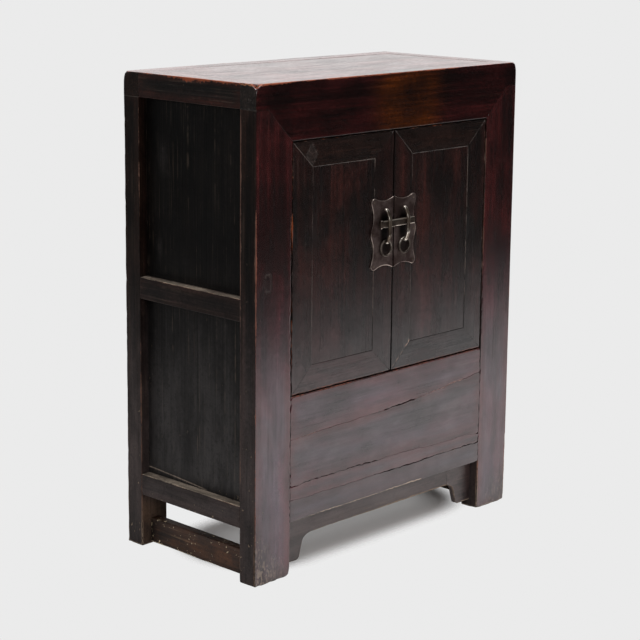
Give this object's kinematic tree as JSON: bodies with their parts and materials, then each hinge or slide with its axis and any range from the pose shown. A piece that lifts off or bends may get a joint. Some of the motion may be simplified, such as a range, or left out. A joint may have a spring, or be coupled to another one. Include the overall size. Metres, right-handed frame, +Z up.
{
  "type": "cabinet",
  "caption": "Upright lacquered wooden cabinet with a pair of pivoting framed doors, ring pulls, a sliding lock bolt, recessed side panels and a shaped apron.",
  "frame": {"origin": "on the floor, in the middle of the outline seen from above, hardware included", "axes": "+X along the front from left to right as seen from the front, +Y from front to back, +Z up"},
  "size_m": [0.665, 0.3384, 0.84],
  "materials": {
    "front_lacquer": "dark oxblood lacquer, worn to red at the edges",
    "side_lacquer": "black-brown lacquer, worn",
    "top_lacquer": "glossy dark lacquer",
    "bare_wood": "unfinished, darkened with age",
    "patinated_brass": "dark patina, bright on worn edges"
  },
  "bodies": {
    "carcass": {"apron_spandrel_left": "front_lacquer", "apron_spandrel_right": "front_lacquer", "apron_strip": "front_lacquer", "back_leg_left": "side_lacquer", "back_leg_right": "side_lacquer", "back_low_rail": "side_lacquer", "back_mid_rail": "side_lacquer", "back_panel_lower": "bare_wood", "back_panel_upper": "bare_wood", "back_top_rail": "side_lacquer", "bottom_board": "bare_wood", "door_sill": "front_lacquer", "door_stop": "bare_wood", "floor_bearer_back": "bare_wood", "floor_bearer_front": "bare_wood", "floor_board_left": "bare_wood", "floor_board_right": "bare_wood", "front_board_lower": "front_lacquer", "front_board_upper": "front_lacquer", "front_bottom_rail": "front_lacquer", "front_leg_left": "front_lacquer", "front_leg_right": "front_lacquer", "front_top_rail": "front_lacquer", "shelf": "bare_wood", "side_low_rail_left": "side_lacquer", "side_low_rail_right": "side_lacquer", "side_mid_rail_left": "side_lacquer", "side_mid_rail_right": "side_lacquer", "side_panel_lower_left": "side_lacquer", "side_panel_lower_right": "side_lacquer", "side_panel_upper_left": "side_lacquer", "side_panel_upper_right": "side_lacquer", "side_stretcher_left": "side_lacquer", "side_stretcher_right": "side_lacquer", "side_top_rail_left": "side_lacquer", "side_top_rail_right": "side_lacquer", "top_batten": "bare_wood", "top_panel": "top_lacquer"},
    "door_left": {"door_left_batten": "bare_wood", "door_left_bottom_rail": "front_lacquer", "door_left_hanging_stile": "front_lacquer", "door_left_meeting_stile": "front_lacquer", "door_left_panel": "front_lacquer", "door_left_top_rail": "front_lacquer", "handle_left": "patinated_brass", "lock_plate_left": "patinated_brass", "plate_nails_left": "patinated_brass"},
    "door_right": {"door_right_batten": "bare_wood", "door_right_bottom_rail": "front_lacquer", "door_right_hanging_stile": "front_lacquer", "door_right_meeting_stile": "front_lacquer", "door_right_panel": "front_lacquer", "door_right_top_rail": "front_lacquer", "handle_right": "patinated_brass", "lock_plate_right": "patinated_brass", "plate_nails_right": "patinated_brass"},
    "ring_left": {"pull_ring_left": "patinated_brass"},
    "ring_right": {"pull_ring_right": "patinated_brass"},
    "bolt": {"lock_bolt": "patinated_brass"},
    "lift_out": {"floor_lift_out_board": "bare_wood"}
  },
  "joints": [
    {"name": "left_door_hinge", "type": "hinge", "parent": "carcass", "child": "door_left", "pos_m": [-0.2375, -0.1478, 0.528], "axis": [0, 0, -1], "range_deg": [0, 110]},
    {"name": "right_door_hinge", "type": "hinge", "parent": "carcass", "child": "door_right", "pos_m": [0.2375, -0.1478, 0.528], "axis": [0, 0, 1], "range_deg": [0, 110]},
    {"name": "left_ring_swing", "type": "hinge", "parent": "door_left", "child": "ring_left", "pos_m": [-0.021, -0.1587, 0.5513], "axis": [-1, 0, 0], "range_deg": [0, 75]},
    {"name": "right_ring_swing", "type": "hinge", "parent": "door_right", "child": "ring_right", "pos_m": [0.027, -0.1587, 0.5513], "axis": [-1, 0, 0], "range_deg": [0, 75]},
    {"name": "lock_bolt_slide", "type": "slide", "parent": "door_left", "child": "bolt", "axis": [-1, 0, 0], "range_m": [0, 0.052]},
    {"name": "floor_board_lift", "type": "slide", "parent": "carcass", "child": "lift_out", "axis": [0, 0, 1], "range_m": [0, 0.1]}
  ]
}
